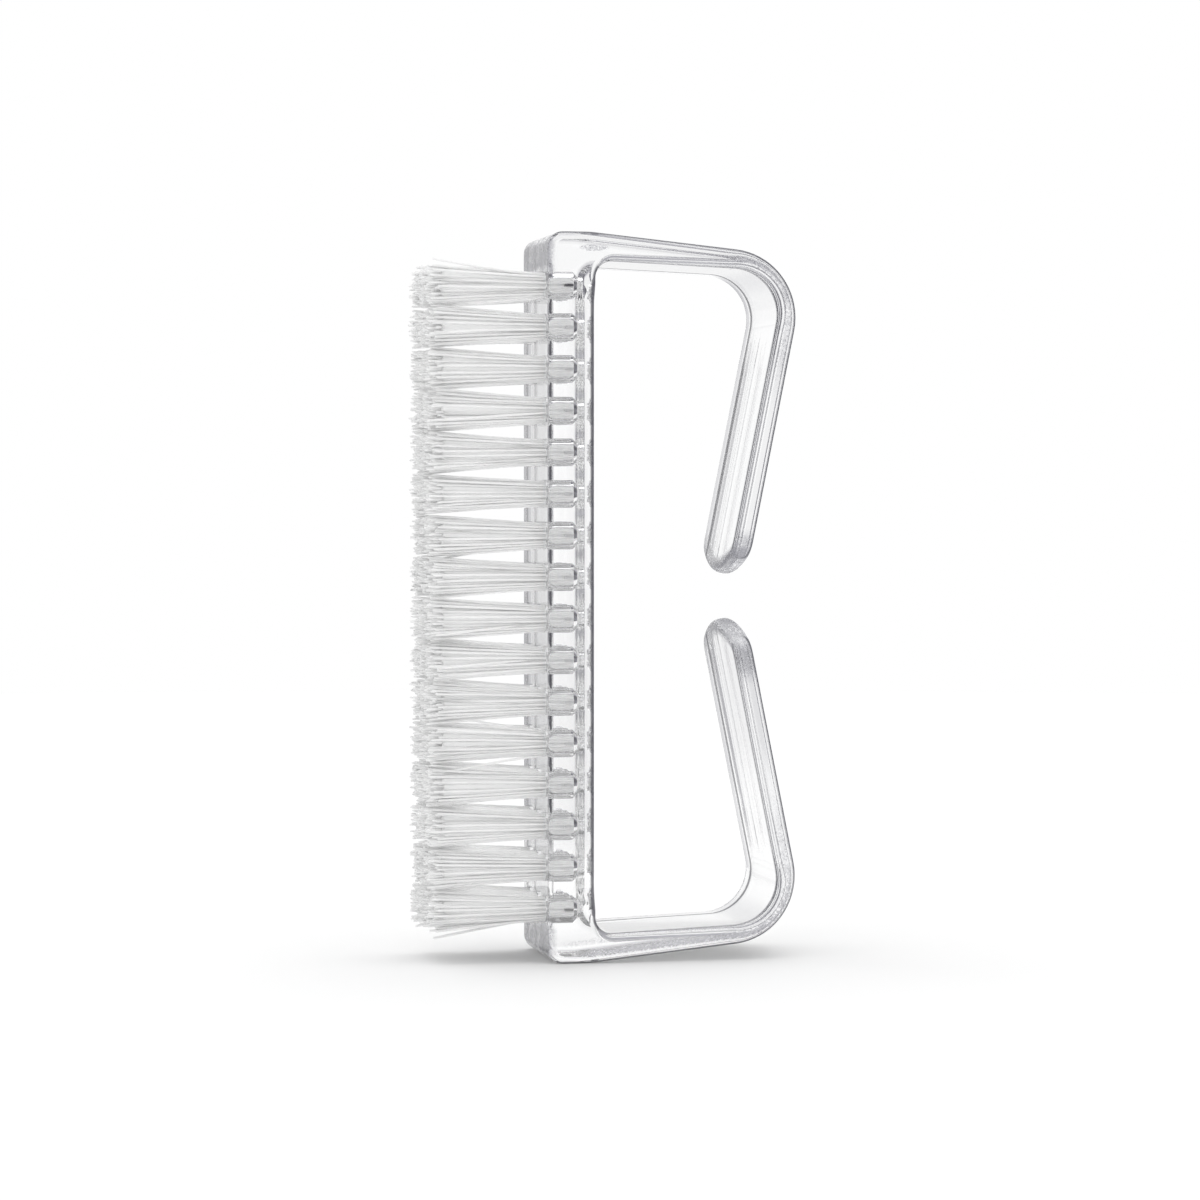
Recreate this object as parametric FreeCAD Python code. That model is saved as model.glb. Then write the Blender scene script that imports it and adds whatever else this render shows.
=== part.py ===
import FreeCAD, Part
import math
import os

from FreeCAD import Vector

# A clear moulded nail brush. It stands on one end of its bristle plate: Z runs
# along the plate, X from the bristle tips through the plate to the claws of the
# handle, and Y across the brush. The origin is the middle of the end it stands on.
# Lengths are in millimetres and angles in degrees.

# Faces that meet at less than this turn run on smoothly
smooth_turn_angle = 20.0

# Body: the bristle plate and the handle are one moulding of one width
brush_width = 19.0
plate_length = 95.0
plate_thickness = 6.3
edge_rounding = 1.05
front_corner_radius = 2.0
back_rounding = 2.0
back_rounding_fade = 4.0

# Handle: two arms leave the back of the plate at its ends, and each is bent round
# into a claw that leans in towards the plate
shoulder_start = 5.6
shoulder_radius = 12.0
arm_root_thickness = 3.7
arm_root_fillet = 2.2
arm_outer_angle = 6.0
arm_inner_angle = 2.6
outer_corner_radius = 8.9
inner_corner_radius = 6.0
claw_reach = 19.6
claw_thickness = 2.55
claw_lean_angle = 11.3
claw_gap = 5.9
claw_crown = 3.0
claw_corner_radius = 3.0

# Tuft holes, blind, with a narrower pilot at the bottom
row_count = 16
row_pitch = 5.41
column_count = 3
column_pitch = 5.8
hole_diameter = 3.6
hole_depth = 4.0
hole_bottom_chamfer = 0.5
pilot_diameter = 2.2
pilot_depth = 0.8
cut_overrun = 1.0

# Bristle tufts, each folded over a flat metal anchor
tuft_clearance = 0.05
tuft_free_length = 15.8
tuft_tip_diameter = 5.1
tuft_tip_crown = 0.6
tuft_rib_count = 10
tuft_rib_depth = 0.45

# Anchors
anchor_height = 1.1
anchor_thickness = 0.3
anchor_clearance = 0.02

plate_front = -plate_thickness / 2
plate_back = plate_thickness / 2
plate_middle = plate_length / 2
brush_side = brush_width / 2


def direction(angle):
    """A unit vector in the XZ plane, turned from +X towards +Z."""
    turn = math.radians(angle)
    return Vector(math.cos(turn), 0, math.sin(turn))


def crossing(point_a, way_a, point_b, way_b):
    """Where two lines of the XZ plane meet."""
    between = point_b - point_a
    turn = way_a.x * way_b.z - way_a.z * way_b.x
    along = (between.x * way_b.z - between.z * way_b.x) / turn
    return point_a + way_a * along


def corner_arc(before, corner, after, radius):
    """The arc that rounds a corner, with the points where it starts and ends."""
    way_in = (before - corner).normalize()
    way_out = (after - corner).normalize()
    half_angle = way_in.getAngle(way_out) / 2
    reach = radius / math.tan(half_angle)
    start = corner + way_in * reach
    end = corner + way_out * reach
    bisector = (way_in + way_out).normalize()
    middle = corner + bisector * (radius / math.sin(half_angle) - radius)
    return Part.Arc(start, middle, end).toShape(), start, end


def rounded_outline(corners):
    """A closed wire through (point, radius) corners. A radius of zero stays sharp."""
    edges = []
    ends = []
    for number, (corner, radius) in enumerate(corners):
        if radius > 0:
            before = corners[number - 1][0]
            after = corners[(number + 1) % len(corners)][0]
            arc, start, end = corner_arc(before, corner, after, radius)
            edges.append(arc)
            ends.append((start, end))
        else:
            ends.append((corner, corner))
    for number in range(len(corners)):
        leave = ends[number][1]
        arrive = ends[(number + 1) % len(corners)][0]
        edges.append(Part.LineSegment(leave, arrive).toShape())
    return Part.Wire(Part.__sortEdges__(edges))


def upper_corners():
    """The corners of the upper half of the body's outline, seen from the side."""
    front_end = Vector(plate_front, 0, plate_length)
    shoulder = Vector(plate_front + shoulder_start, 0, plate_length)
    outer_way = direction(-arm_outer_angle)
    claw_way = direction(90 - claw_lean_angle)
    claw_across = direction(-claw_lean_angle)
    claw_outer = Vector(plate_back + claw_reach, 0, plate_middle)
    claw_inner = claw_outer - claw_across * claw_thickness

    # The claw is cut off square, so the rounded outer corner is its lowest point
    lift = edge_rounding * (claw_way.z - claw_across.z - claw_way.cross(claw_across).Length)
    end_height = Vector(0, 0, plate_middle + claw_gap / 2 - lift)
    end_outer = crossing(end_height, direction(0), claw_outer, claw_way)
    end_inner = end_outer - claw_across * claw_thickness

    root = Vector(plate_back, 0, plate_length - arm_root_thickness)
    return [
        (front_end, front_corner_radius),
        (shoulder, shoulder_radius),
        (crossing(shoulder, outer_way, claw_outer, claw_way), outer_corner_radius),
        (end_outer, 0),
        (end_inner, 0),
        (crossing(root, direction(-arm_inner_angle), claw_inner, claw_way), inner_corner_radius),
        (root, arm_root_fillet),
    ]


def meets_sharply(solid, edge):
    """Whether the two faces at an edge turn there, rather than run on smoothly."""
    middle = edge.valueAt((edge.FirstParameter + edge.LastParameter) / 2)
    normals = []
    for face in solid.ancestorsOfType(edge, Part.Face):
        u, v = face.Surface.parameter(middle)
        normals.append(face.normalAt(u, v))
    return normals[0].getAngle(normals[1]) > math.radians(smooth_turn_angle)


def runs_across_claw_end(edge):
    """Whether an edge is one of a claw end's corners, square to the claw's faces."""
    box = edge.BoundBox
    flat = box.YLength < edge_rounding
    short = edge.Length < claw_thickness + edge_rounding
    near_middle = abs(box.Center.z - plate_middle) < claw_gap + claw_crown
    return flat and short and near_middle


def claw_end_cutter(end_outer):
    """What rounds off the upper claw's end across its width, given its outer corner."""
    radius = (brush_side**2 + claw_crown**2) / (2 * claw_crown)
    length = claw_thickness + 2 * cut_overrun
    width = brush_width + 2 * cut_overrun
    left = cut_overrun - length
    low = Vector(left, -width / 2, -cut_overrun)
    block = Part.makeBox(length, width, cut_overrun + claw_crown + claw_corner_radius, low)
    tongue = Part.makeCylinder(radius, length, Vector(left, 0, radius), Vector(1, 0, 0))
    cutter = block.cut(tongue)
    cutter.rotate(Vector(0, 0, 0), Vector(0, 1, 0), claw_lean_angle)
    cutter.translate(end_outer)
    return cutter


def back_rounding_cutter(side):
    """What the fuller rounding takes off one back edge of the plate.

    It is a square corner less a rod. The rod runs along the plate and bends away
    at both ends, so that the rounding fades into the plain edge before the arms.
    """
    outward = Vector(1, side, 0).normalize()
    rod_middle = Vector(plate_back - back_rounding, side * (brush_side - back_rounding), 0)
    clear = (back_rounding - edge_rounding) * (math.sqrt(2) - 1)
    bend_radius = (back_rounding_fade**2 + clear**2) / (2 * clear)
    bend_length = back_rounding_fade + back_rounding
    bend_angle = math.degrees(math.asin(bend_length / bend_radius))
    low = arm_root_thickness + arm_root_fillet
    high = plate_length - low

    straight_low = rod_middle + Vector(0, 0, low + back_rounding_fade)
    straight_high = rod_middle + Vector(0, 0, high - back_rounding_fade)
    up = Vector(0, 0, 1)
    rod = Part.makeCylinder(back_rounding, straight_high.z - straight_low.z, straight_low, up)
    hinge = outward.cross(up)
    bends = []
    for start, turn in ((straight_low, bend_angle), (straight_high, -bend_angle)):
        disc = Part.Face(Part.Wire(Part.Circle(start, up, back_rounding).toShape()))
        bends.append(disc.revolve(start + outward * bend_radius, hinge, turn))

    size = back_rounding + cut_overrun
    corner = Vector(rod_middle.x, min(rod_middle.y, rod_middle.y + side * size), low)
    block = Part.makeBox(size, size, high - low, corner)
    return block.cut([rod] + bends)


def tuft_places():
    """The middle of each tuft hole's mouth, a list of columns for each row."""
    first_row = plate_middle - row_pitch * (row_count - 1) / 2
    first_column = -column_pitch * (column_count - 1) / 2
    return [
        [
            Vector(plate_front, first_column + column * column_pitch, first_row + row * row_pitch)
            for column in range(column_count)
        ]
        for row in range(row_count)
    ]


def turned_solid(profile):
    """A solid turned about the X axis from (depth, radius) points of its outline."""
    points = [Vector(depth, 0, radius) for depth, radius in profile]
    face = Part.Face(Part.makePolygon(points + points[:1]))
    return face.revolve(Vector(0, 0, 0), Vector(1, 0, 0), 360)


def hole_profile(clearance, mouth):
    """The outline of a tuft hole, drawn in by a clearance and begun at the mouth."""
    radius = hole_diameter / 2 - clearance
    pilot_radius = pilot_diameter / 2 - clearance
    shoulder = hole_depth - clearance
    bottom = hole_depth + pilot_depth - clearance
    return [
        (mouth, radius),
        (shoulder - hole_bottom_chamfer, radius),
        (shoulder, radius - hole_bottom_chamfer),
        (shoulder, pilot_radius),
        (bottom, pilot_radius),
        (bottom, 0),
    ]


def make_hole():
    """The space of one tuft hole, with its mouth at the origin and its depth along +X."""
    return turned_solid([(-cut_overrun, 0)] + hole_profile(0, -cut_overrun))


def make_anchor(clearance):
    """An anchor, flat across the hole at the end of its straight part."""
    bottom = hole_depth - hole_bottom_chamfer - tuft_clearance
    width = hole_diameter - 2 * tuft_clearance + 2 * clearance
    height = anchor_height + 2 * clearance
    thickness = anchor_thickness + 2 * clearance
    corner = Vector(bottom - anchor_height - clearance, -width / 2, -thickness / 2)
    return Part.makeBox(height, width, thickness, corner)


def ribbed_outline(depth, radius):
    """An outline across a tuft at a depth, with its ribs out to the radius."""
    points = []
    for number in range(2 * tuft_rib_count):
        angle = math.pi * number / tuft_rib_count
        reach = radius if number % 2 == 0 else radius - tuft_rib_depth
        points.append(Vector(depth, reach * math.cos(angle), reach * math.sin(angle)))
    return Part.makePolygon(points + points[:1])


def make_tuft():
    """A tuft: its folded shank in the hole and its free part, ribbed and flared to the tips."""
    shank = turned_solid([(0, 0)] + hole_profile(tuft_clearance, 0))
    mouth_radius = hole_diameter / 2 - 2 * tuft_clearance
    tip_radius = tuft_tip_diameter / 2
    outlines = [
        ribbed_outline(0, mouth_radius),
        ribbed_outline(tuft_tip_crown - tuft_free_length, tip_radius),
        ribbed_outline(-tuft_free_length, tip_radius - tuft_tip_crown),
    ]
    free = Part.makeLoft(outlines, True, True)
    return shank.fuse(free).cut(make_anchor(anchor_clearance))


def placed(shape, place):
    """A copy of a shape at a tuft's place."""
    copy = shape.copy()
    copy.translate(place)
    return copy


def make_body(places):
    """The clear moulding: plate, arms and claws, with rounded edges and tuft holes."""
    upper = upper_corners()
    lower = [(Vector(p.x, 0, plate_length - p.z), radius) for p, radius in reversed(upper)]
    outline = rounded_outline(upper + lower)
    outline.translate(Vector(0, -brush_side, 0))
    body = Part.Face(outline).extrude(Vector(0, brush_width, 0))

    upper_cutter = claw_end_cutter(upper[3][0])
    lower_cutter = upper_cutter.mirror(Vector(0, 0, plate_middle), Vector(0, 0, 1))
    body = body.cut([upper_cutter, lower_cutter])
    claw_corners = [edge for edge in body.Edges if runs_across_claw_end(edge)]
    body = body.makeFillet(claw_corner_radius, claw_corners)
    sharp = [edge for edge in body.Edges if meets_sharply(body, edge)]
    body = body.makeFillet(edge_rounding, sharp)
    body = body.cut([back_rounding_cutter(1), back_rounding_cutter(-1)])
    hole = make_hole()
    return body.cut([placed(hole, place) for row in places for place in row])


def main():
    """Writes the body, and each row's tufts and anchors as groups of separate solids."""
    os.makedirs("parts", exist_ok=True)
    places = tuft_places()
    tuft = make_tuft()
    anchor = make_anchor(0)
    make_body(places).exportStep("parts/brush_body.step")
    for number, row in enumerate(places, 1):
        tufts = Part.makeCompound([placed(tuft, place) for place in row])
        tufts.exportStep(f"parts/tuft_row_{number:02d}.step")
        anchors = Part.makeCompound([placed(anchor, place) for place in row])
        anchors.exportStep(f"parts/anchor_row_{number:02d}.step")


main()
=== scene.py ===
import math
import random

import bpy
from bpy.props import EnumProperty, FloatProperty, FloatVectorProperty, IntProperty, PointerProperty
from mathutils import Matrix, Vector


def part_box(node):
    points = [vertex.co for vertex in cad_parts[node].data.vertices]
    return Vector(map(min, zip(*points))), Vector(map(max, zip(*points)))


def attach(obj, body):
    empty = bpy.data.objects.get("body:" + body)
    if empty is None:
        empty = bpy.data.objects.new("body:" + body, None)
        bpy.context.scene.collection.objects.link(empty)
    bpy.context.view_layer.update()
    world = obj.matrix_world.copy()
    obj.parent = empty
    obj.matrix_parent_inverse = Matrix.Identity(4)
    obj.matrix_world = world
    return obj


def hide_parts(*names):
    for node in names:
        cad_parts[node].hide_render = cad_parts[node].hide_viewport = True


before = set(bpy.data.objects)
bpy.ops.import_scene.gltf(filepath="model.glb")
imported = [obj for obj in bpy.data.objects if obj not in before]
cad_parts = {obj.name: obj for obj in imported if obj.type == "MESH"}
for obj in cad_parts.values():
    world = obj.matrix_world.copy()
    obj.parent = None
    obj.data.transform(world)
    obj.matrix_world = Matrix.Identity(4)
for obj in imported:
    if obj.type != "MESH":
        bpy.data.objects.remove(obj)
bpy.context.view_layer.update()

bl_info = {
    "name": "Nail brush",
    "version": (1, 0, 0),
    "blender": (4, 5, 0),
    "location": "View3D > Sidebar > Nail brush",
    "description": "Dresses a clear nail brush: moulding, bristle tufts, anchors and studio",
    "category": "Object",
}

MM = 0.001
BODY = "root"
ROWS = sorted(name[-2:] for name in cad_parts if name.startswith("tuft_row_"))
PLATE_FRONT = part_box("brush_body")[0].x
SIDE = 9.5 * MM
SIDE_LIMIT = 9.25 * MM
MIDDLE = 47.5 * MM
VIEW_TURN = math.radians(11.5)
GOLDEN_ANGLE = math.pi * (3 - math.sqrt(5))


class TuftSizes(bpy.types.PropertyGroup):
    """Sizes of the bristle tufts."""

    filament: FloatProperty(
        name="Filament", description="Diameter of one filament", default=0.34 * MM, unit="LENGTH")
    ends: IntProperty(
        name="Ends", description="Filament ends in one tuft, two to each fold", default=96)
    length: FloatProperty(
        name="Length", description="Usual free length", default=14.95 * MM, unit="LENGTH")
    ragged: FloatProperty(
        name="Ragged", description="How far the ends stray in length", default=0.75 * MM,
        unit="LENGTH")
    root_radius: FloatProperty(
        name="Root radius", description="Radius of the bundle in its hole", default=1.58 * MM,
        unit="LENGTH")
    tip_radius: FloatProperty(
        name="Tip radius", description="Radius of the bundle at its ends", default=2.55 * MM,
        unit="LENGTH")
    waver: FloatProperty(
        name="Waver", description="How far an end strays sideways", default=0.16 * MM,
        unit="LENGTH")
    column_pitch: FloatProperty(
        name="Column pitch", description="Distance between columns", default=5.8 * MM,
        unit="LENGTH")


class Finishes(bpy.types.PropertyGroup):
    """Colours of the brush and of the studio."""

    nylon: FloatVectorProperty(
        name="Nylon", description="Colour of the filaments", subtype="COLOR",
        default=(0.95, 0.95, 0.95), min=0, max=1)
    anchor: FloatVectorProperty(
        name="Anchor", description="Colour of the anchors", subtype="COLOR",
        default=(0.25, 0.25, 0.25), min=0, max=1)
    plastic: FloatVectorProperty(
        name="Plastic", description="Tint of the clear moulding", subtype="COLOR",
        default=(0.99, 0.992, 0.995), min=0, max=1)
    floor: FloatVectorProperty(
        name="Floor", description="Colour of the floor", subtype="COLOR",
        default=(0.94, 0.94, 0.94), min=0, max=1)


class StudioSizes(bpy.types.PropertyGroup):
    """Where the camera stands and how the studio is lit."""

    azimuth: FloatProperty(
        name="Azimuth", description="Turn of the view round the brush", subtype="ANGLE",
        default=-VIEW_TURN)
    pitch: FloatProperty(
        name="Pitch", description="Downward tilt of the view", subtype="ANGLE",
        default=math.radians(1.543))
    distance: FloatProperty(
        name="Distance", description="From the camera to the target", default=0.52,
        unit="LENGTH")
    lens: FloatProperty(
        name="Lens", description="Focal length in millimetres on a 36 mm frame", default=118.05)
    target: FloatVectorProperty(
        name="Target", description="The point that the camera looks at", subtype="XYZ",
        default=(5.5 * MM, 0, 47.02 * MM))


class Wire:
    """A socket that can be used in sums, which add Math nodes."""

    def __init__(self, finish, socket):
        self.finish = finish
        self.socket = socket

    def math(self, operation, *others):
        values = dict(enumerate((self,) + others))
        return self.finish.node("ShaderNodeMath", {"operation": operation}, values)

    def __add__(self, other):
        return self.math("ADD", other)

    __radd__ = __add__

    def __sub__(self, other):
        return self.math("SUBTRACT", other)

    def __rsub__(self, other):
        return (self * -1) + other

    def __mul__(self, other):
        return self.math("MULTIPLY", other)

    __rmul__ = __mul__

    def __truediv__(self, other):
        return self.math("DIVIDE", other)

    def __pow__(self, other):
        return self.math("POWER", other)

    def __abs__(self):
        return self.math("ABSOLUTE")

    def maximum(self, other):
        return self.math("MAXIMUM", other)

    def minimum(self, other):
        return self.math("MINIMUM", other)

    def ramp(self, start, end):
        """0 before start and 1 after end, with a smooth step between."""
        values = {"Value": self, "From Min": start, "From Max": end}
        return self.finish.node(
            "ShaderNodeMapRange", {"interpolation_type": "SMOOTHSTEP"}, values)


class Finish:
    """A node tree, of a material or of the world, that is being written."""

    def __init__(self, tree):
        self.tree = tree
        tree.nodes.clear()

    def node(self, kind, settings=None, inputs=None, output=0):
        """Adds a node, with its settings first, and returns one of its outputs."""
        made = self.tree.nodes.new(kind)
        for name, value in (settings or {}).items():
            setattr(made, name, value)
        for name, value in (inputs or {}).items():
            if isinstance(value, Wire):
                self.tree.links.new(value.socket, made.inputs[name])
            else:
                made.inputs[name].default_value = value
        return Wire(self, made.outputs[output])

    def place(self):
        """The place on the piece, and its three parts."""
        place = self.node("ShaderNodeTexCoord", output="Object")
        parts = [self.node("ShaderNodeSeparateXYZ", inputs={0: place}, output=i) for i in range(3)]
        return place, parts

    def blend(self, factor, first, second):
        """One shader turning into another."""
        return self.node("ShaderNodeMixShader", inputs={0: factor, 1: first, 2: second})

    def tint(self, factor, first, second):
        """One colour turning into another."""
        colours = {"Factor": factor, 6: first, 7: second}
        return self.node("ShaderNodeMix", {"data_type": "RGBA"}, colours, output=2)

    def noise(self, place, scale, detail=2.0):
        """Seeded clouds of grey."""
        values = {"Vector": place, "Scale": scale, "Detail": detail}
        return self.node("ShaderNodeTexNoise", inputs=values)

    def stretched(self, place, scale):
        """The place, scaled by another amount each way."""
        return self.node("ShaderNodeMapping", inputs={"Vector": place, "Scale": scale})

    def ray(self, kind):
        """What Light Path says of the ray."""
        return self.node("ShaderNodeLightPath", output=kind)

    def ends(self, surface, kind="ShaderNodeOutputMaterial"):
        """Ends the tree with a shader."""
        made = self.tree.nodes.new(kind)
        self.tree.links.new(surface.socket, made.inputs["Surface"])


def new_finish(name):
    """A new material and its empty node tree."""
    material = bpy.data.materials.new(name)
    material.use_nodes = True
    return material, Finish(material.node_tree)


def with_alpha(colour):
    return (*colour, 1)


def grey(level, blue=0.0):
    """A grey, or one a little bluer."""
    return (level, level, level + blue, 1)


# The outline of the arms and claws, seen from the side: each arm falls away from its
# shoulder, and each claw leans in from where it would meet the brush's middle. The
# slopes are those of 6 and 11.3 degrees, rounded, each with its rounded cosine
ARM_SLOPE = 0.1051
ARM_COSINE = 0.9945
CLAW_SLOPE = 0.1998
CLAW_COSINE = 0.9806
SHOULDER_X = 2.45 * MM
CLAW_OUTER_X = 22.75 * MM
CORNER_RADIUS = 8.9 * MM

# Where the claws' ends and the moulding's flat sides are
CLAW_END_RISE = 2.95 * MM
CLAW_CROWN = 3.0 * MM
FLAT_SIDES = (8.9 * MM, 9.3 * MM)
NEAR_ROUND = (7.9 * MM, 8.3 * MM)
OVAL_MIDDLE = (2.8 * MM, 92.9 * MM)


def outline_depth(x, rise):
    """How deep a point lies under the outline of the arm and claw, seen from the side."""
    under_arm = (rise * -1 + (MIDDLE + ARM_SLOPE * SHOULDER_X) - x * ARM_SLOPE) * ARM_COSINE
    under_claw = (rise * CLAW_SLOPE + CLAW_OUTER_X - x) * CLAW_COSINE
    past_arm = (CORNER_RADIUS - under_arm).maximum(0.0) ** 2
    past_claw = (CORNER_RADIUS - under_claw).maximum(0.0) ** 2
    return CORNER_RADIUS - (past_arm + past_claw) ** 0.5


def ripples(x, y, rise):
    """Height in millimetres of the shallow waves that run along the claws."""
    far_side = (y * (1 / MM) - 2.5).maximum(0.0) ** 2 * -0.0045
    middle = y.ramp(-3.8 * MM, -0.8 * MM) * -0.024
    thin_line = y.ramp(0.8 * MM, 1.4 * MM) * -0.018
    claws = x.ramp(3.5 * MM, 6 * MM) * (1 - rise.ramp(29 * MM, 36 * MM))
    return (far_side + middle + thin_line) * claws


def painted_dark_edges(finish, x, y, rise):
    """Painted dark lines and bands on the glassy rim where the surface turns away along the round
    edges, standing in for the dark edges that refraction shows.
    """
    turned = finish.node("ShaderNodeLayerWeight", inputs={"Blend": 0.5}, output="Facing")
    grazing = turned.ramp(0.55, 0.75)

    # Painted dark lines on the near edges, darkest on the outside of the handle and at the plate's
    # back
    outer = 1 - outline_depth(x, rise).ramp(0.8 * MM, 1.2 * MM)
    plate_edge = x.ramp(2.2 * MM, 2.6 * MM) * (1 - x.ramp(3.3 * MM, 3.6 * MM))
    rim = turned.ramp(0.3, 0.55).maximum(plate_edge * turned.ramp(0.15, 0.4))
    near_round = (y * -1).ramp(*NEAR_ROUND) * rim * x.ramp(-2.4 * MM, -1.8 * MM)
    near_round = near_round * (outer.maximum(plate_edge) * 0.45 + 0.55)

    # One painted dark line along the far side of the handle's inner faces, where refraction shows a
    # dark line
    far_line = y.ramp(5.1 * MM, 5.4 * MM) * (1 - y.ramp(6.0 * MM, 6.3 * MM))
    lines = far_line * grazing * x.ramp(4 * MM, 5 * MM)

    # Two painted dark bands along the plate's front face, on a lighter painted shade over the whole
    # face
    front = (1 - x.ramp(-3.1 * MM, -2.9 * MM)) * grazing
    first = y.ramp(4.9 * MM, 5.4 * MM) * (1 - y.ramp(6.2 * MM, 6.7 * MM))
    second = y.ramp(-0.6 * MM, -0.2 * MM) * (1 - y.ramp(0.8 * MM, 1.3 * MM))
    bands = (first * 0.35 + second * 0.25 + 0.3) * front
    return near_round.maximum(lines).maximum(bands)


def frosted_places(x, y, z, clouds):
    """1 where the moulding is frosted all over: the claw ends and the plate's front corners."""
    rise = abs(z - MIDDLE)
    sides = abs(y).ramp(*FLAT_SIDES)

    # The claws' ends are crowned across the width, and so is the frost's edge
    from_end = rise - CLAW_END_RISE - y ** 2 * (CLAW_CROWN / SIDE**2)
    low_claw = (z * -1).ramp(-MIDDLE, 1 * MM - MIDDLE)
    side_reach = low_claw * 2.5 * MM + 2.5 * MM
    ends = 1 - from_end.ramp(1.1 * MM, 2.3 * MM)
    flanks = (1 - (from_end - side_reach).ramp(-1.5 * MM, 0.8 * MM)) * sides * 0.8
    ends = ends.maximum(flanks) * x.ramp(15 * MM, 16 * MM)

    fronts = (1 - x.ramp(-2.9 * MM, -1.9 * MM)) * rise.ramp(41 * MM, 43.5 * MM)
    near_part = 1 - y.ramp(-7 * MM, -4 * MM)
    fronts = fronts * (clouds.ramp(0.42, 0.56) * 0.6 + 0.1 + near_part * 0.3)
    return ends.maximum(fronts.minimum(0.8))


def speckled_places(x, y, z):
    """1 along the speckled streaks and the oval patch on the moulding's sides."""
    rise = abs(z - MIDDLE)
    depth = outline_depth(x, rise)
    streak = depth.ramp(0.7 * MM, 1.1 * MM) * (1 - depth.ramp(1.3 * MM, 1.9 * MM))
    corner = x.ramp(20 * MM, 23 * MM) * rise.ramp(24 * MM, 34 * MM)
    low_arm = (z * -1).ramp(-12 * MM, -8 * MM) * x.ramp(-1 * MM, 3 * MM)
    streak = streak * (corner * 0.6 + low_arm * 0.7)
    streak = streak * x.ramp(6 * MM, 10 * MM).maximum(low_arm)
    along = (x - OVAL_MIDDLE[0]) * (1 / 2.1)
    across = (z - OVAL_MIDDLE[1]) * (1 / 0.45)
    oval = 1 - (along ** 2 + across ** 2).ramp(0.5 * MM * MM, 1.1 * MM * MM)
    near_oval = oval * (1 - y.ramp(0.0, 1 * MM))
    return streak.maximum(near_oval) * abs(y).ramp(*FLAT_SIDES)


def clear_plastic(colours):
    """Clear moulded plastic with frosted and speckled places and painted dark edge lines, which
    lets lamps through.
    """
    material, finish = new_finish("clear_plastic")
    place, (x, y, z) = finish.place()
    rise = abs(z - MIDDLE)
    grain = finish.noise(finish.stretched(place, (3200.0, 1200.0, 3200.0)), 1.0)
    mottle = grain.ramp(0.36, 0.6)
    frost = frosted_places(x, y, z, finish.noise(place, 420.0)) * (mottle * 0.4 + 0.6)
    speckle = speckled_places(x, y, z) * (mottle * 0.8 + 0.2)

    waves = finish.noise(place, 160.0, 1.0) * 0.002
    pits = (grain - 0.5) * (frost * 0.03 + speckle * 0.16)
    height = waves + pits + ripples(x, y, rise)
    bump = finish.node(
        "ShaderNodeBump", inputs={"Height": height, "Strength": 1.0, "Distance": 1.0 * MM})

    glass = finish.node(
        "ShaderNodeBsdfPrincipled",
        inputs={
            "Base Color": finish.tint(
                frost.maximum(speckle), with_alpha(colours.plastic), grey(0.8, 0.03)),
            "Roughness": frost * 0.25 + speckle * 0.12,
            "IOR": 1.57,
            "Transmission Weight": 1.0,
            "Normal": bump,
        },
    )
    matt = finish.node(
        "ShaderNodeBsdfPrincipled",
        inputs={"Base Color": grey(0.43, 0.03), "Roughness": 0.5, "Normal": bump},
    )
    # A near-black shader for the painted dark edge lines
    dark = finish.node(
        "ShaderNodeBsdfPrincipled", inputs={"Base Color": grey(0.1, 0.02), "Roughness": 0.3})
    outside = 1 - finish.node("ShaderNodeNewGeometry", output="Backfacing")
    surface = finish.blend(frost * 0.6 + speckle * 0.25, glass, matt)
    # Painted shade: the near-black shader is mixed in along the rounded edges and front bands
    surface = finish.blend(painted_dark_edges(finish, x, y, rise) * outside * 0.9, surface, dark)

    # Lamps reach the tufts through the plate, and the handle and the plate's ends throw
    # a shadow
    clear = finish.node("ShaderNodeBsdfTransparent", inputs={"Color": grey(0.88)})
    dim = finish.node("ShaderNodeBsdfTransparent", inputs={"Color": grey(0.32)})
    away = x.ramp(2.6 * MM, 3.4 * MM).maximum(rise.ramp(42.5 * MM, 43.5 * MM))
    finish.ends(finish.blend(finish.ray("Is Shadow Ray"), surface, finish.blend(away, clear, dim)))
    return material


def nylon(colours):
    """White translucent nylon, with a faint painted glow where real filaments light each other."""
    material, finish = new_finish("white_nylon")
    place, (x, y, z) = finish.place()
    streaks = finish.noise(finish.stretched(place, (60.0, 2400.0, 2400.0)), 1.0)
    lines = finish.node(
        "ShaderNodeBump", inputs={"Height": streaks, "Strength": 0.6, "Distance": 0.3 * MM})
    pale = finish.tint(streaks.ramp(0.3, 0.7), with_alpha(colours.nylon), grey(0.98))
    # Painted shade: the filaments go greyer in streaks towards their ends, for the grey look of the
    # tip fringe
    painted_tip_shade = (1 - x.ramp(-17 * MM, -15 * MM)) * (1 - streaks.ramp(0.42, 0.58))
    pale = finish.tint(painted_tip_shade * 0.28, pale, grey(0.5))

    # Painted light: the glow fills the gaps between the middle tufts, and is weaker in the holes
    middle = 1 - abs(y).ramp(4 * MM, 7 * MM)
    shanks = x.ramp(-3.3 * MM, -3.0 * MM)
    row_gaps = middle * x.ramp(-16 * MM, -11 * MM) * (1 - shanks)
    row_gaps = row_gaps * (1 - abs(z - MIDDLE).ramp(40 * MM, 43 * MM))
    glow = finish.tint(row_gaps.maximum(shanks * 0.6), grey(0), grey(0.11))
    surface = finish.node(
        "ShaderNodeBsdfPrincipled",
        inputs={
            "Base Color": pale,
            "Emission Color": glow,
            "Emission Strength": 1.0,
            "Roughness": 0.35,
            "IOR": 1.53,
            "Subsurface Weight": 0.5,
            "Subsurface Radius": (1.0, 1.0, 1.0),
            "Subsurface Scale": 0.4 * MM,
            "Normal": lines,
        },
    )
    finish.ends(surface)
    material.cycles.emission_sampling = "NONE"
    return material


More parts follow.
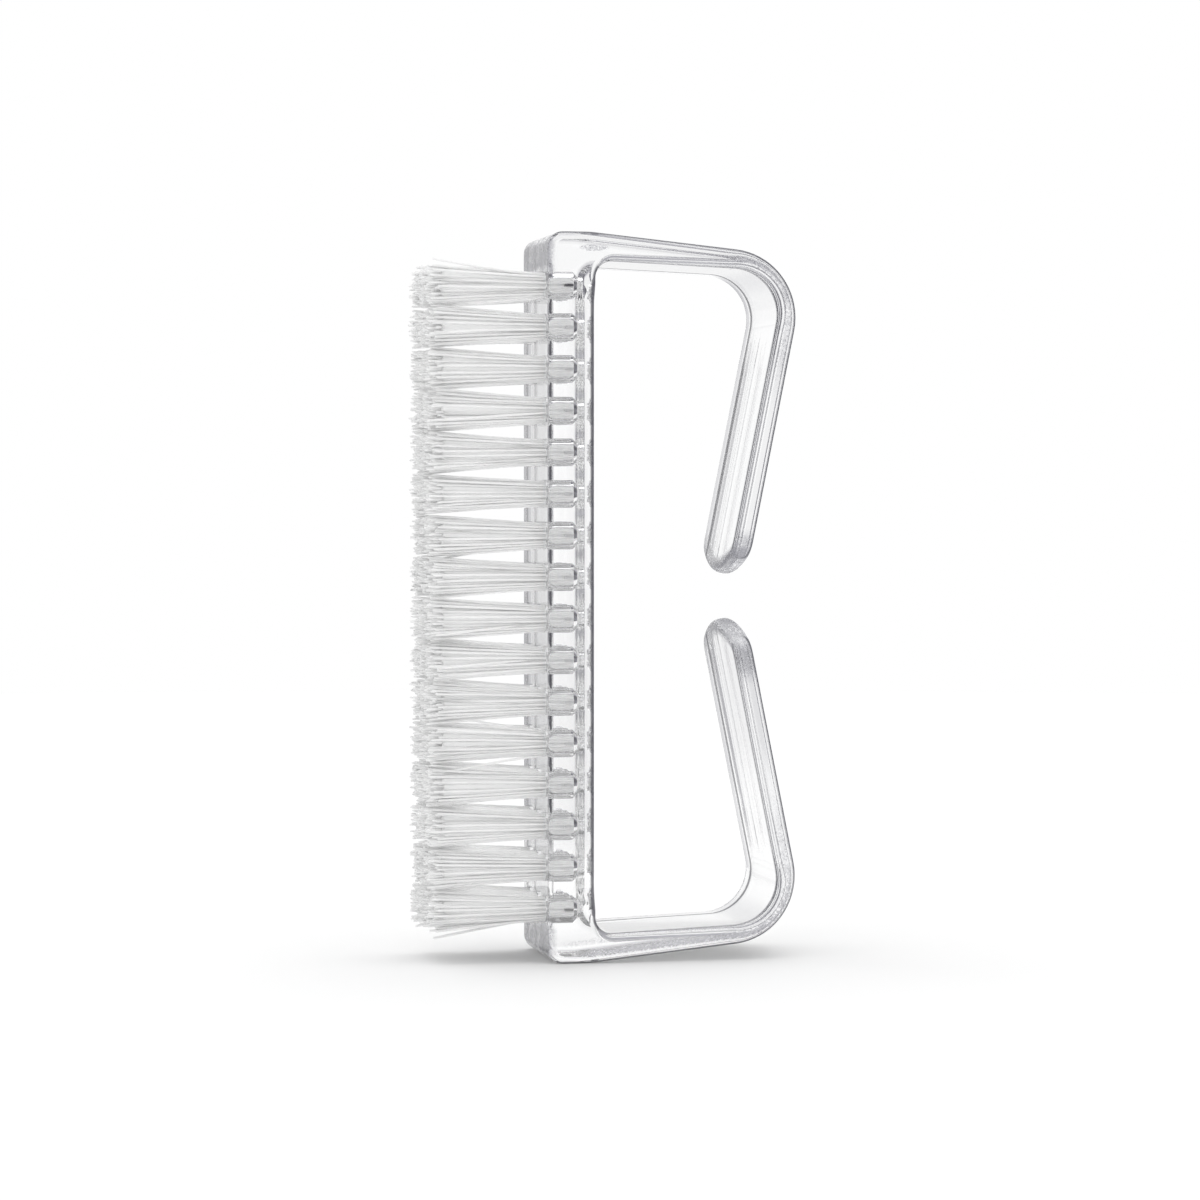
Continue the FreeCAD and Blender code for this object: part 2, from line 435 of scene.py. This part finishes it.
def anchor_metal(colours):
    """Drawn wire, pale in the middle rows and darker in the end ones."""
    material, finish = new_finish("anchor_metal")
    place, (x, y, z) = finish.place()
    grain = finish.noise(place, 2500.0)
    end_rows = abs(z - MIDDLE).ramp(38 * MM, 39 * MM)
    surface = finish.node(
        "ShaderNodeBsdfPrincipled",
        inputs={
            "Base Color": finish.tint(end_rows, grey(0.9), with_alpha(colours.anchor)),
            "Metallic": end_rows * 0.6 + 0.3,
            "Roughness": grain * 0.2 + 0.2,
        },
    )
    finish.ends(surface)
    return material


def floor_finish(colours):
    """A white floor with a painted shadow where the brush is near, which clear plastic looks past
    to the white all round.
    """
    material, finish = new_finish("studio_floor")
    # Painted shadow: the floor greys towards 0.7 where ambient occlusion finds the brush close by
    open_share = finish.node(
        "ShaderNodeAmbientOcclusion", {"samples": 12}, {"Distance": 90 * MM}, output="AO")
    painted_contact_shadow = finish.tint(open_share.ramp(0.0, 0.85), grey(0.7), with_alpha(colours.floor))
    lit = finish.node("ShaderNodeBsdfDiffuse", inputs={"Color": painted_contact_shadow})
    bent = finish.ray("Is Glossy Ray").maximum(finish.ray("Is Transmission Ray"))
    place, (x, y, z) = finish.place()
    reach = (x ** 2 + y ** 2) ** 0.5
    open_sky = finish.node("ShaderNodeBsdfTransparent", inputs={"Color": grey(1)})
    finish.ends(finish.blend(bent * reach.ramp(0.12, 0.2), lit, open_sky))
    return material


def studio_tone(finish):
    """How bright the studio is for rays that the clear plastic bends, by their direction."""
    way = finish.node("ShaderNodeTexCoord", output="Generated")
    x, y, z = [finish.node("ShaderNodeSeparateXYZ", inputs={0: way}, output=i) for i in range(3)]
    side = x * math.cos(VIEW_TURN) - y * math.sin(VIEW_TURN)
    ahead = x * math.sin(VIEW_TURN) + y * math.cos(VIEW_TURN)

    # Dark upright strips to the right and left, weaker on the camera's side
    near = (ahead * -1).ramp(0.0, 0.35)
    front = 1 - near * 0.7
    right = (side.ramp(0.3, 0.6) - side.ramp(0.9, 1.0) * 0.6) * front
    left = (side * -1).ramp(0.52, 0.75) * front
    behind = near * (side.ramp(0.1, 0.4) * 0.5 + 0.25)

    # Greyer bands above and below, and soft shades to the left and low down
    high = abs(z).ramp(0.14, 0.36) - abs(z).ramp(0.6, 0.8) * 0.8
    soft = (side * -1).ramp(0.1, 0.38) * 0.1
    low_side = (z * -1).ramp(0.01, 0.05) * 0.14
    tone = (1 - right * 0.8) * (1 - left * 0.9) * (1 - high * 0.55) * (1 - soft)
    tone = tone * (1 - behind) * (1 - low_side) * 1.06

    # What is seen straight through the plastic is paler
    straight = 1 - finish.ray("Glossy Depth").minimum(1.0)
    return 1 - (1 - tone) * (1 - straight * 0.55)


def studio_world():
    """White all round for the camera, with dark upright strips for the clear plastic."""
    world = bpy.data.worlds.new("studio")
    bpy.context.scene.world = world
    world.use_nodes = True
    finish = Finish(world.node_tree)
    tone = studio_tone(finish)
    first = 1 - finish.ray("Diffuse Depth").minimum(1.0)
    bent = finish.ray("Is Transmission Ray").maximum(finish.ray("Is Glossy Ray")) * first
    cool = finish.tint(tone.ramp(0.0, 1.0), (0.88, 0.87, 1.0, 1), grey(1))
    seen = finish.node("ShaderNodeBackground", inputs={"Color": cool, "Strength": tone})
    plain = finish.node("ShaderNodeBackground", inputs={"Color": grey(1), "Strength": 0.92})
    white = finish.node("ShaderNodeBackground", inputs={"Color": grey(1), "Strength": 1.0})
    lit = finish.blend(bent, plain, seen)
    camera = finish.ray("Is Camera Ray")
    finish.ends(finish.blend(camera, lit, white), "ShaderNodeOutputWorld")


def deselect():
    """Nothing selected, so the next operator acts on its own piece alone."""
    bpy.ops.object.select_all(action="DESELECT")


# Shares of a filament's free length, with its thickness there: the end is rounded off
FREE_STATIONS = ((0.0, 1), (0.3, 1), (0.62, 1), (0.985, 1), (1.0, 0.55))
LEAN_GROWTH = 1.1
# Depth of a fold's legs in the hole, with how far they have drawn together there
LEG_STATIONS = ((1.9 * MM, 0.98), (3.2 * MM, 0.94))
FOLD_DEPTH = 3.5 * MM
STRAY_SHARE = 0.022
STRAY_REACH = (0.8 * MM, 1.9 * MM)
CORE_INNER = 2.2 * MM
CORE_SHORT = 1.2 * MM
CORE_EDGE = 0.5 * MM


def add_filament(curve, points):
    """Adds one filament through (point, thickness share) pairs."""
    spline = curve.splines.new("POLY")
    spline.points.add(len(points) - 1)
    for made, (point, share) in zip(spline.points, points):
        made.co = (*point, 1)
        made.radius = share


def free_end(sizes, rng, middle, spot, stray):
    """The free part of one filament, from its mouth to its end."""
    reach = sizes.length + rng.uniform(-1, 1) * sizes.ragged
    flare = sizes.tip_radius / sizes.root_radius
    side = [spot[i] * flare + rng.gauss(0, sizes.waver) + stray[i] for i in range(2)]
    bow = [rng.gauss(0, sizes.waver * 0.4) for i in range(2)]
    points = []
    for along, share in FREE_STATIONS:
        place = []
        for i in range(2):
            lean = (side[i] - spot[i]) * along**LEAN_GROWTH
            curve = bow[i] * math.sin(math.pi * along)
            place.append(middle[i] + spot[i] + lean + curve)
        place[0] = max(-SIDE_LIMIT, min(SIDE_LIMIT, place[0]))
        points.append((Vector((PLATE_FRONT - reach * along, *place)), share))
    return points


def fold(sizes, middle, spot):
    """The part of a filament in the hole, from one mouth round the anchor to the other."""
    deep = PLATE_FRONT + FOLD_DEPTH + 0.72 * abs(spot[1])
    y = middle[0] + spot[0] * 0.9
    points = []
    for depth, draw in LEG_STATIONS:
        drawn = [middle[i] + spot[i] * draw for i in range(2)]
        points.append(Vector((PLATE_FRONT + depth, *drawn)))
    points.append(Vector((deep - 0.25 * abs(spot[1]), y, middle[1] + spot[1] * 0.6)))
    turn = Vector((deep, y, middle[1]))
    back = [Vector((p.x, p.y, 2 * middle[1] - p.z)) for p in reversed(points)]
    return [(p, 1) for p in points + [turn] + back]


def tuft_spots(sizes):
    """Where the legs of a tuft's folds lie in the upper half of its hole."""
    spots = []
    number = 0
    while len(spots) < sizes.ends // 2:
        radius = sizes.root_radius * math.sqrt((number + 0.5) / sizes.ends)
        angle = number * GOLDEN_ANGLE
        spot = (radius * math.cos(angle), radius * math.sin(angle))
        if spot[1] > 0:
            spots.append(spot)
        number += 1
    return spots


def stray_of(rng):
    """Most ends keep to their bundle, and a few lean out of it."""
    if rng.random() > STRAY_SHARE:
        return (0, 0)
    angle = rng.uniform(0, 2 * math.pi)
    reach = rng.uniform(*STRAY_REACH)
    return (reach * math.cos(angle), reach * math.sin(angle))


def tuft_core(sizes, middle):
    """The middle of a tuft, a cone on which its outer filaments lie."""
    inner = PLATE_FRONT + CORE_INNER
    outer = PLATE_FRONT - sizes.length + CORE_SHORT
    share = (PLATE_FRONT - outer) / sizes.length
    wide = sizes.root_radius + (sizes.tip_radius - sizes.root_radius) * share
    deselect()
    bpy.ops.mesh.primitive_cone_add(
        vertices=20, radius1=sizes.root_radius * 0.86, radius2=wide * 0.84, depth=inner - outer,
        location=((inner + outer) / 2, *middle), rotation=(0, -math.pi / 2, 0))
    core = bpy.context.object
    bpy.ops.object.mode_set(mode="EDIT")
    bpy.ops.mesh.select_mode(type="FACE")
    bpy.ops.mesh.select_all(action="DESELECT")
    bpy.ops.object.mode_set(mode="OBJECT")
    for face in core.data.polygons:
        face.select = face.normal.z > 0.9
    bpy.ops.object.mode_set(mode="EDIT")
    bpy.ops.mesh.bevel(offset=CORE_EDGE, segments=3, affect="EDGES")
    bpy.ops.object.mode_set(mode="OBJECT")
    bpy.ops.object.transform_apply(location=True, rotation=True, scale=True)
    return core


def bristle_row(sizes, row, material):
    """One row of tufts, each a bundle of filaments folded over its anchor."""
    rng = random.Random(int(row) * 7)
    low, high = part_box("tuft_row_" + row)
    height = (low.z + high.z) / 2
    curve = bpy.data.curves.new("bristle_row_" + row, "CURVE")
    curve.dimensions = "3D"
    curve.bevel_depth = sizes.filament / 2
    curve.bevel_resolution = 1
    curve.use_fill_caps = True
    cores = []
    for column in (-1, 0, 1):
        middle = (column * sizes.column_pitch, height)
        cores.append(tuft_core(sizes, middle))
        for spot in tuft_spots(sizes):
            other = (spot[0], -spot[1])
            first = free_end(sizes, rng, middle, spot, stray_of(rng))
            second = free_end(sizes, rng, middle, other, stray_of(rng))
            add_filament(curve, first[::-1] + fold(sizes, middle, spot) + second)
    deselect()
    piece = bpy.data.objects.new("bristle_row_" + row, curve)
    bpy.context.collection.objects.link(piece)
    piece.select_set(True)
    bpy.context.view_layer.objects.active = piece
    bpy.ops.object.convert(target="MESH")
    piece = bpy.context.object
    for core in cores:
        core.select_set(True)
    bpy.ops.object.join()
    bpy.ops.object.shade_smooth()
    piece.data.materials.clear()
    piece.data.materials.append(material)
    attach(piece, BODY)
    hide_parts("tuft_row_" + row)


class NAILBRUSH_OT_moulding(bpy.types.Operator):
    """Give the moulding its clear plastic"""

    bl_idname = "nailbrush.moulding"
    bl_label = "Clear moulding"

    def execute(self, context):
        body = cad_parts["brush_body"]
        body.data.materials[0] = clear_plastic(context.scene.brush_finishes)
        return {"FINISHED"}


class NAILBRUSH_OT_tufts(bpy.types.Operator):
    """Make the sixteen rows of bristle tufts"""

    bl_idname = "nailbrush.tufts"
    bl_label = "Bristle tufts"

    def execute(self, context):
        material = nylon(context.scene.brush_finishes)
        for row in ROWS:
            bristle_row(context.scene.brush_tufts, row, material)
        return {"FINISHED"}


class NAILBRUSH_OT_anchors(bpy.types.Operator):
    """Give the anchors their metal"""

    bl_idname = "nailbrush.anchors"
    bl_label = "Anchors"

    def execute(self, context):
        metal = anchor_metal(context.scene.brush_finishes)
        for row in ROWS:
            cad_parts["anchor_row_" + row].data.materials[0] = metal
        return {"FINISHED"}


class NAILBRUSH_OT_studio(bpy.types.Operator):
    """Set the floor, the world, the lamps and the camera"""

    bl_idname = "nailbrush.studio"
    bl_label = "Studio"

    def execute(self, context):
        sizes = context.scene.brush_studio
        deselect()
        bpy.ops.mesh.primitive_circle_add(
            vertices=96, radius=0.7, fill_type="NGON", location=(0, 0, 0))
        floor = context.object
        floor.name = "floor"
        floor.data.materials.append(floor_finish(context.scene.brush_finishes))
        studio_world()

        bpy.ops.object.light_add(type="SUN", location=(0, 0.1, 0.75))
        lamp = context.object
        lamp.data.angle = math.radians(60)
        lamp.data.energy = 0.6
        beam = Vector((0, 0, 0.04)) - lamp.location
        lamp.rotation_euler = beam.to_track_quat("-Z", "Y").to_euler()

        target = Vector(sizes.target)
        back = Vector((
            math.sin(sizes.azimuth) * math.cos(sizes.pitch),
            -math.cos(sizes.azimuth) * math.cos(sizes.pitch),
            math.sin(sizes.pitch),
        ))
        bpy.ops.object.camera_add(location=target + back * sizes.distance)
        camera = context.object
        camera.rotation_euler = (-back).to_track_quat("-Z", "Y").to_euler()
        camera.data.lens = sizes.lens
        camera.data.sensor_width = 36.0
        camera.data.clip_end = 100
        context.scene.camera = camera
        context.scene.view_settings.view_transform = "Standard"
        context.scene.cycles.max_bounces = 32
        context.scene.cycles.diffuse_bounces = 12
        context.scene.cycles.glossy_bounces = 24
        context.scene.cycles.transmission_bounces = 24
        return {"FINISHED"}


class NAILBRUSH_PT_panel(bpy.types.Panel):
    """The nail brush's steps"""

    bl_label = "Nail brush"
    bl_idname = "NAILBRUSH_PT_panel"
    bl_space_type = "VIEW_3D"
    bl_region_type = "UI"
    bl_category = "Nail brush"

    def draw(self, context):
        for operator in OPERATORS:
            self.layout.operator(operator.bl_idname)


OPERATORS = (
    NAILBRUSH_OT_moulding,
    NAILBRUSH_OT_tufts,
    NAILBRUSH_OT_anchors,
    NAILBRUSH_OT_studio,
)
GROUPS = {"brush_tufts": TuftSizes, "brush_finishes": Finishes, "brush_studio": StudioSizes}


def register():
    for group in GROUPS.values():
        bpy.utils.register_class(group)
    for name, group in GROUPS.items():
        setattr(bpy.types.Scene, name, PointerProperty(type=group))
    for item in OPERATORS + (NAILBRUSH_PT_panel,):
        bpy.utils.register_class(item)


def unregister():
    for item in reversed(OPERATORS + (NAILBRUSH_PT_panel,)):
        bpy.utils.unregister_class(item)
    for name, group in GROUPS.items():
        delattr(bpy.types.Scene, name)
        bpy.utils.unregister_class(group)


def main():
    register()
    for operator in OPERATORS:
        place, name = operator.bl_idname.split(".")
        getattr(getattr(bpy.ops, place), name)()


if __name__ == "__main__":
    main()
